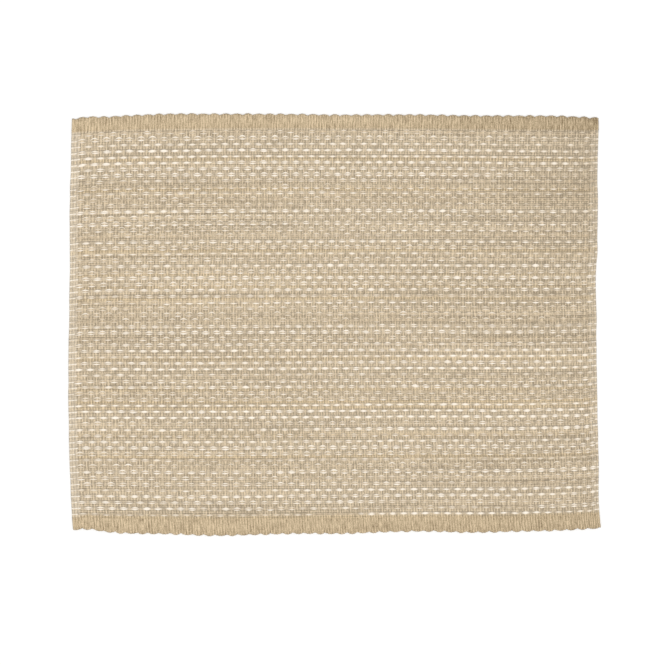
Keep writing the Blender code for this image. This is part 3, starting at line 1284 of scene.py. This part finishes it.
    def tones(self, places: list[RingPlace], x: np.ndarray, crowns: bool) -> np.ndarray:
        """Tone of every point of the ribs' crowns, or of the gaps, with painted shade in the gaps and
        sunk places and towards the top right corner.

        Args:
            places: The ring's places, with a gap where gaps are asked for.
            x: Mean X of each rib or gap.
            crowns: Crowns if true, gaps otherwise.

        Returns:
            Tones, a row for each place and a column for each rib or gap.
        """
        base = np.array([place.tones[0 if crowns else 1] for place in places])
        y = np.array([place.crown[0] for place in places])
        tones = np.repeat(base[:, None], len(x), axis=1)
        if crowns:
            for number, place in enumerate(places):
                if place.row is not None and place.on_face:
                    tones[number, self.plan.over(place.row)] = self.over_tone
                    tones[number, self.plan.beaded(place.row)] = self.selvedge_tone
                    tones[number, self.plan.float_middles(place.row)] = self.middle_highlight
        across, along = np.meshgrid(x, y)
        streak = self.streak_shade * self.streaks.at(across, along)
        band = self.band_shade * self.bands.at(across, along)
        in_body = np.array([place.middle == self.body_middle for place in places])
        grain = np.where(in_body, self.grain, self.hem_grain)[:, None]
        scatter = np.random.default_rng(self.grain_seed).uniform(-1.0, 1.0, tones.shape)
        tones = tones * (1 + streak + band) + grain * scatter
        tones = tones + self.selvedge_lift * self.plan.outermost(across)
        # Take off the painted shade towards the top right corner.
        return tones - self.chart.warp_dulling * self.chart.corner_shade(across, along)

    def weft_share(self, places: list[RingPlace], x: np.ndarray, crowns: bool) -> np.ndarray:
        """How much white weft shows at every point of the ribs' crowns, or of the gaps.

        Args:
            places: The ring's places, with a gap where gaps are asked for.
            x: Mean X of each rib or gap.
            crowns: Crowns if true, gaps otherwise.

        Returns:
            Shares, a row for each place and a column for each rib or gap.
        """
        shares = np.zeros((len(places), len(x)))
        at_left, at_right = self.selvedge_weft
        at_sides = self.body_weft + self.plan.outermost(x) * np.where(x < 0, at_left, at_right)
        for number, place in enumerate(places):
            if place.row is not None and place.on_face:
                white = self.chart.mean_whiteness(np.full(len(x), place.row), x)
                shares[number] = white * (self.crown_weft if crowns else self.gap_weft)
                if crowns:
                    middles = self.plan.float_middles(place.row)
                    shares[number, middles] = white[middles] * self.float_weft
            if place.middle == self.body_middle:
                shares[number] += at_sides
        return shares

    def gold(self, place: RingPlace) -> float:
        """How golden the warp looks at a place, from 0 to 1."""
        if place.middle != self.body_middle:
            return 0.0
        half_row = 0.5
        row = self.plan.rows + half_row - place.phase
        return max(much * max(1 - abs(row - line) / half_row, 0.0) for line, much in GOLDEN_LINES)

    @staticmethod
    def strip(gap_places: list[int], count: int) -> list[tuple]:
        """Triangles between a rib's crown and the gap on its right.

        Args:
            gap_places: The places that have a point in the gap, rising.
            count: Places in the ring.

        Returns:
            Triangles whose corners say whether they lie in the gap, and where.
        """
        def nearest(place: int) -> int:
            """Gap point that the stretch after a place is joined to."""
            middle = place + 0.5
            off = [min(abs(middle - gap), count - abs(middle - gap)) for gap in gap_places]
            return off.index(min(off))

        triangles = []
        for place in range(count):
            here, before = nearest(place), nearest((place - 1) % count)
            triangles.append(((False, place), (True, here), (False, (place + 1) % count)))
            if here != before:
                triangles.append(((False, place), (True, before), (True, here)))
        return triangles

    def build(self) -> bpy.types.Object:
        """Weave the cloth.

        Returns:
            The cloth, which stands for the mat's solid.
        """
        plan = self.plan
        sections = [
            self.face(),
            self.fold(Hem.TOP),
            self.slit(Hem.TOP),
            self.underside(),
            self.slit(Hem.BOTTOM)[::-1],
            self.fold(Hem.BOTTOM)[::-1],
        ]
        ring = [place for section in sections for place in section]
        gap_places = [number for number, place in enumerate(ring) if place.gap is not None]
        gaps = [ring[number] for number in gap_places]

        crown_x = plan.rib_x(np.arange(plan.ribs))
        gap_x = plan.rib_x(np.arange(plan.ribs + 1) - 0.5)
        crown_y = np.array([place.crown[0] for place in ring])
        follow = np.array([place.follow for place in ring])
        crown_points = plan.place(crown_x[:, None], crown_y, self.crown_heights(ring).T, follow)

        gap_y = np.array([place.gap[0] for place in gaps])
        gap_z = np.array([place.gap[1] for place in gaps])
        middle = np.array([place.middle for place in gaps])
        gap_z = np.repeat(gap_z[None], plan.ribs + 1, axis=0)
        gap_z[[0, -1]] = middle + (gap_z[[0, -1]] - middle) * self.selvedge_relief
        gap_follow = np.array([place.follow for place in gaps])
        gap_points = plan.place(gap_x[:, None], gap_y, gap_z, gap_follow)

        points = np.concatenate([gap_points.reshape(-1, 3), crown_points.reshape(-1, 3)])
        first_crown = (plan.ribs + 1) * len(gaps)
        shades = {"tone": [], "weft": [], "phase": [], "gold": []}
        for places, x, crowns in ((gaps, gap_x, False), (ring, crown_x, True)):
            shades["tone"].append(self.tones(places, x, crowns).T.ravel())
            shades["weft"].append(self.weft_share(places, x, crowns).T.ravel())
            shades["phase"].append(np.tile([place.phase for place in places], len(x)))
            shades["gold"].append(np.tile([self.gold(place) for place in places], len(x)))
        layers = {name: np.concatenate(values) for name, values in shades.items()}

        def index(in_gap: bool, column: np.ndarray, place: int) -> np.ndarray:
            """Point of a column of crowns or gaps."""
            return column * len(gaps) + place if in_gap else first_crown + column * len(ring) + place

        rib = np.arange(plan.ribs)
        faces = []
        for corners in self.strip(gap_places, len(ring)):
            right = [index(in_gap, rib + 1 if in_gap else rib, place) for in_gap, place in corners]
            left = [index(in_gap, rib, place) for in_gap, place in corners]
            faces += [np.stack(right, axis=-1), np.stack(left[::-1], axis=-1)]
        faces.append(self.selvedge_caps(sections, gap_points, len(gaps)))
        faces = np.concatenate(faces)

        running = np.concatenate([[0.0], np.cumsum(np.hypot(
            np.diff(crown_y), np.diff([place.crown[1] for place in ring])))])
        weave = np.concatenate([
            np.stack(np.broadcast_arrays(gap_x[:, None], running[gap_places]), axis=-1).reshape(-1, 2),
            np.stack(np.broadcast_arrays(crown_x[:, None], running), axis=-1).reshape(-1, 2),
        ])
        piece = Piece("mat_cloth", points, faces, weave[faces.ravel()], layers, "weave")
        cloth = piece.build(self.finish.material())
        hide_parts("woven_mat")
        return cloth

    @staticmethod
    def selvedge_caps(sections: list[list[RingPlace]], points: np.ndarray, count: int) -> np.ndarray:
        """Close the cloth at its two selvedges.

        Args:
            sections: The ring's places, by the stretch they lie on.
            points: Points of the gaps, a row for each gap from left to right.
            count: Points in each gap.

        Returns:
            The triangles.
        """
        runs, start = [], 0
        for section in sections:
            size = sum(place.gap is not None for place in section)
            runs.append(list(range(start, start + size)))
            start += size
        face, top_fold, top_slit, under, bottom_slit, bottom_fold = runs
        pairs = (
            (face, [bottom_slit[0]] + under[::-1] + [top_slit[-1]], 1),
            (face[-1:] + top_fold, top_slit[::-1], 1),
            (face[:1] + bottom_fold[::-1], bottom_slit, -1),
        )
        triangles = []
        for column, facing in ((0, -1), (len(points) - 1, 1)):
            for above, below, turn in pairs:
                i, j = 0, 0
                while i + 1 < len(above) or j + 1 < len(below):
                    ahead = i + 1 < len(above)
                    if ahead and j + 1 < len(below):
                        first = points[column, above[i + 1]] - points[column, below[j]]
                        second = points[column, above[i]] - points[column, below[j + 1]]
                        ahead = np.linalg.norm(first) <= np.linalg.norm(second)
                    third = above[i + 1] if ahead else below[j + 1]
                    corners = [above[i], below[j], third]
                    triangles.append(corners if facing * turn > 0 else corners[::-1])
                    triangles[-1] = [column * count + corner for corner in triangles[-1]]
                    i, j = (i + 1, j) if ahead else (i, j + 1)
        return np.array(triangles)


@dataclass
class FaceFloats:
    """The weft's floats on the face, each over three ribs, as two strands that part in the middle."""

    plan: WeavePlan
    chart: YarnChart
    half_length: float = 4.0 * MM
    beige_radius: float = 0.46 * MM
    white_radius: float = 0.80 * MM
    end_height: float = 1.55 * MM
    height: float = 1.95 * MM
    meeting: float = -0.20 * MM
    upper_rise: Pair = (0.36 * MM, 1.70 * MM)
    lower_drop: Pair = (0.20 * MM, 1.20 * MM)
    crown_highlight: Pair = (0.10, 0.54)
    sideways: float = 0.22 * MM
    upways: float = 0.12 * MM
    stations: tuple[float, ...] = (-1.0, -0.62, -0.27, 0.0, 0.27, 0.62, 1.0)
    sides: int = 5
    size: Unevenness = Unevenness(seed=41, cell_x=0.011, cell_y=0.0051)
    size_drift: float = 0.14
    size_scatter: float = 0.18
    white_scatter: float = 0.13
    parting_scatter: Pair = (0.7, 1.3)
    rise_curve: float = 1.3
    drop_curve: float = 0.35
    least_girth: float = 0.36
    girth_curve: float = 2.4
    highlight_curve: int = 3
    seed: int = 43

    def centres(self) -> tuple[np.ndarray, np.ndarray]:
        """Row and middle rib of every float."""
        rows, ribs = [], []
        for row in range(self.plan.rows):
            middle = self.plan.float_middles(row)
            rows.append(np.full(len(middle), row))
            ribs.append(middle)
        return np.concatenate(rows), np.concatenate(ribs)

    def strands(self, ply: Ply) -> Strands:
        """Lay one strand of every float.

        Args:
            ply: Which of the two.

        Returns:
            The strands: the upper one arches, the lower one lies nearly straight.
        """
        rows, ribs = self.centres()
        t = np.array(self.stations)
        x, y = self.plan.rib_x(ribs), self.plan.row_y(rows)
        random = np.random.default_rng(self.seed + ply.value)
        scatter = random.uniform(-self.size_scatter, self.size_scatter, len(x))
        loose = 1 + self.size_drift * self.size.at(x, y) + scatter
        white = self.chart.whiteness(ply, rows, x) + random.normal(0.0, self.white_scatter, len(x))
        white = np.clip(white, 0.0, 1.0)
        parting = self.chart.parting(rows, x) * random.uniform(*self.parting_scatter, len(x))
        bow = np.cos(math.pi / 2 * t)
        least, gain = self.upper_rise if ply is Ply.UPPER else self.lower_drop
        curve = self.rise_curve if ply is Ply.UPPER else self.drop_curve
        apart = ply.value * (least + gain * parting[:, None]) * bow ** curve
        height = between((self.end_height, self.height), bow)
        centres = self.plan.place(
            x[:, None] + self.half_length * t + random.normal(0.0, self.sideways, (len(x), 1)),
            y[:, None] + self.meeting + apart + random.normal(0.0, self.upways, (len(x), 1)),
            np.repeat(height[None], len(x), axis=0),
        )
        full = between((self.least_girth, 1.0), bow ** self.girth_curve)
        full[[0, -1]] = 0.0
        radii = between((self.beige_radius, self.white_radius), white) * loose
        # Painted highlight along the top of each strand, strongest at its middle.
        light = between(self.crown_highlight, white)[:, None] * np.maximum(bow, 0.0) ** self.highlight_curve
        tone = self.chart.tone(white, x, y)[:, None] + light
        return Strands(centres, radii[:, None] * full, tone, self.sides)

    def build(self, material: bpy.types.Material) -> list[bpy.types.Object]:
        """Make both strands of all floats, with the weft's finish."""
        names = {Ply.UPPER: "face_floats_upper_strands", Ply.LOWER: "face_floats_lower_strands"}
        return [self.strands(ply).piece(name).build(material) for ply, name in names.items()]


@dataclass
class BackFloats:
    """The weft where it shows on the underside, below the ribs that lie over it."""

    plan: WeavePlan
    chart: YarnChart
    half_length: float = 1.5 * MM
    radii: Pair = (0.40 * MM, 0.50 * MM)
    heights: Pair = (0.80 * MM, 0.52 * MM)
    bluntness: float = 0.7
    stations: tuple[float, ...] = (-1.0, -0.6, 0.0, 0.6, 1.0)
    sides: int = 5

    def build(self, material: bpy.types.Material) -> bpy.types.Object:
        """Make all of them, with the weft's finish."""
        rows, ribs = [], []
        for row in range(self.plan.rows):
            over = np.flatnonzero(self.plan.over(row))
            rows.append(np.full(len(over), row))
            ribs.append(over)
        rows, ribs = np.concatenate(rows), np.concatenate(ribs)
        x, y = self.plan.rib_x(ribs), self.plan.row_y(rows)
        centres = self.plan.runs(x, y, self.stations, self.half_length, self.heights)
        white = self.chart.mean_whiteness(rows, x)
        radii = between(self.radii, white)[:, None] * round_ended(self.stations, self.bluntness)
        tone = self.chart.tone(white, x, y)
        return Strands(centres, radii, tone, self.sides).piece("back_floats").build(material)


@dataclass
class Selvedges:
    """The weft at the two short sides: over each rib in turn, then round the edge."""

    plan: WeavePlan
    chart: YarnChart
    bead_half: float = 1.40 * MM
    bead_radii: Pair = (0.476 * MM, 0.588 * MM)
    bead_heights: Pair = (1.60 * MM, 2.0 * MM)
    bead_bluntness: float = 0.6
    bead_light: Pair = (0.18, 0.90)
    bead_scatter: float = 0.22
    seed: int = 51
    turn_radii: Pair = (0.375 * MM, 0.50 * MM)
    turn_angles: tuple[int, ...] = (90, 55, 18, -18, -55, -90)
    turn_reach: float = -0.30 * MM
    turn_depth: float = 1.3 * MM
    turn_half_height: float = 0.80 * MM
    turn_middle: float = 1.20 * MM
    stations: tuple[float, ...] = (-1.0, -0.62, 0.0, 0.62, 1.0)

    def beads(self) -> Strands:
        """The weft over each rib of the selvedges."""
        random = np.random.default_rng(self.seed)
        beaded = np.array([self.plan.beaded(row) for row in range(self.plan.rows)])
        rows, ribs = np.nonzero(beaded)
        x, y = self.plan.rib_x(ribs), self.plan.row_y(rows)
        centres = self.plan.runs(x, y, self.stations, self.bead_half, self.bead_heights)
        white = self.chart.mean_whiteness(rows, x)
        full = round_ended(self.stations, self.bead_bluntness)
        radii = between(self.bead_radii, white)[:, None] * full
        light = between(self.bead_light, white) + random.normal(0.0, self.bead_scatter, len(x))
        return Strands(centres, radii, self.chart.tone(white, x, y) + light)

    def turns(self) -> Strands:
        """The weft round each edge, from the face to the underside."""
        sides = np.repeat([-1, 1], self.plan.rows)
        rows = np.tile(np.arange(self.plan.rows), 2)
        y = self.plan.row_y(rows)
        angles = np.radians(self.turn_angles)
        out = np.cos(angles)
        edge = sides * self.plan.width / 2
        x = edge[:, None] + sides[:, None] * (self.turn_reach + self.turn_depth * (out - 1))
        z = self.turn_middle + self.turn_half_height * np.sin(angles)
        centres = self.plan.place(x, y[:, None], np.repeat(z[None], len(y), axis=0))
        radii = np.repeat(between(self.turn_radii, out)[None], len(y), axis=0)
        white = self.chart.mean_whiteness(rows, edge)
        return Strands(centres, radii, self.chart.tone(white, edge, y), upright=(0.0, 1.0, 0.0))

    def build(self, material: bpy.types.Material) -> list[bpy.types.Object]:
        """Make the beads and the turns, with the weft's finish."""
        return [
            self.beads().piece("selvedge_beads").build(material),
            self.turns().piece("selvedge_turns").build(material),
        ]


@dataclass
class HemStitches:
    """Lockstitch along each hem, sunk between the ribs of the face and lying on the underside."""

    plan: WeavePlan
    cloth: Cloth
    finish: SewingThread = field(default_factory=SewingThread)
    ribs_per_stitch: float = 1.5
    share: float = 0.86
    radius: float = 0.16 * MM
    face_height: float = 1.96 * MM
    back_height: float = 0.16 * MM
    sink: float = 0.30 * MM
    back_inset: float = 2.2 * MM
    bluntness: float = 0.5
    stations: tuple[float, ...] = (-1.0, -0.7, 0.0, 0.7, 1.0)

    def row(self, hem: Hem, on_face: bool) -> np.ndarray:
        """Centre lines of one row of stitches.

        Args:
            hem: Which hem.
            on_face: On the face, or on the underside.

        Returns:
            The stitches' points.
        """
        pitch = self.ribs_per_stitch * self.plan.rib_pitch
        count = int(self.plan.width / pitch) - 2
        x = (np.arange(count) - (count - 1) / 2) * pitch
        if on_face:
            y = self.cloth.joint(hem) + hem.value * self.cloth.stitch_line
            heights = (self.face_height - self.sink, self.face_height)
        else:
            y = self.cloth.cut(hem) + hem.value * self.back_inset
            heights = (self.back_height + self.sink, self.back_height)
        return self.plan.runs(x, np.full(count, y), self.stations, self.share * pitch / 2, heights)

    def build(self) -> bpy.types.Object:
        """Sew both hems."""
        rows = [self.row(hem, on_face) for hem in Hem for on_face in (True, False)]
        centres = np.concatenate(rows)
        radii = self.radius * round_ended(self.stations, self.bluntness)
        radii = np.repeat(radii[None], len(centres), axis=0)
        strands = Strands(centres, radii, np.ones(len(centres)), sides=5)
        return strands.piece("hem_stitches").build(self.finish.material())


@dataclass
class Studio:
    """The pale floor, the soft light and the camera, square on above the mat."""

    plan: WeavePlan
    image_side: float = 665.0
    mat_middle_pixel: Pair = (333.74, 323.84)
    metres_per_pixel: float = 0.8518 * MM
    lens: float = 100.0
    sensor: float = 36.0
    face_height: float = 2.0 * MM
    floor_size: float = 12.0
    sky: float = 0.60
    key: float = 1.60
    key_angle: float = 55.0
    key_tilt: Pair = (-9.0, 20.0)

    def floor(self) -> None:
        """Lay the floor at the mat's underside."""
        bpy.ops.mesh.primitive_plane_add(size=self.floor_size, location=(0.0, 0.0, 0.0))
        floor = bpy.context.active_object
        floor.name = "floor"
        floor.data.materials.append(PaleFloor().material())

    def lights(self) -> None:
        """A white sky and one broad key light from nearly overhead."""
        world = bpy.data.worlds.new("studio_sky")
        world.use_nodes = True
        sky = world.node_tree.nodes["Background"]
        sky.inputs["Color"].default_value = (1.0, 1.0, 1.0, 1.0)
        sky.inputs["Strength"].default_value = self.sky
        bpy.context.scene.world = world
        lamp = bpy.data.lights.new("key_light", "SUN")
        lamp.energy = self.key
        lamp.angle = math.radians(self.key_angle)
        key = bpy.data.objects.new("key_light", lamp)
        tilt, turn = self.key_tilt
        key.rotation_euler = (math.radians(-tilt), 0.0, math.radians(turn))
        bpy.context.scene.collection.objects.link(key)

    def camera(self) -> None:
        """Hang the camera where the photograph was taken from."""
        lens = bpy.data.cameras.new("camera")
        lens.lens = self.lens
        lens.sensor_width = self.sensor
        camera = bpy.data.objects.new("camera", lens)
        middle = self.image_side / 2
        off_x = (middle - self.mat_middle_pixel[0]) * self.metres_per_pixel
        off_y = (self.mat_middle_pixel[1] - middle) * self.metres_per_pixel
        distance = self.image_side * self.metres_per_pixel * self.lens / self.sensor
        camera.location = (
            self.plan.centring[0] + off_x,
            self.plan.centring[1] + off_y,
            self.face_height + distance,
        )
        bpy.context.scene.collection.objects.link(camera)
        bpy.context.scene.camera = camera

    def build(self) -> None:
        """Set up the whole studio."""
        bpy.ops.object.select_all(action="DESELECT")
        self.floor()
        self.lights()
        self.camera()
        bpy.context.scene.view_settings.view_transform = "Standard"


def main() -> None:
    """Build and dress the placemat, and report each piece."""
    logging.basicConfig(level=logging.INFO, format="%(name)s %(message)s")
    plan = WeavePlan()
    chart = YarnChart(plan)
    weft = WeftCotton().material()
    cloth = Cloth(plan, chart)
    woven = cloth.build()
    laid = FaceFloats(plan, chart).build(weft)
    laid.append(BackFloats(plan, chart).build(weft))
    laid += Selvedges(plan, chart).build(weft)
    laid.append(HemStitches(plan, cloth).build())
    turned_under = sum(abs(hem.value * plan.depth / 2 - cloth.cut(hem)) for hem in Hem)
    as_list(laid)
    Studio(plan).build()


if __name__ == "__main__":
    main()
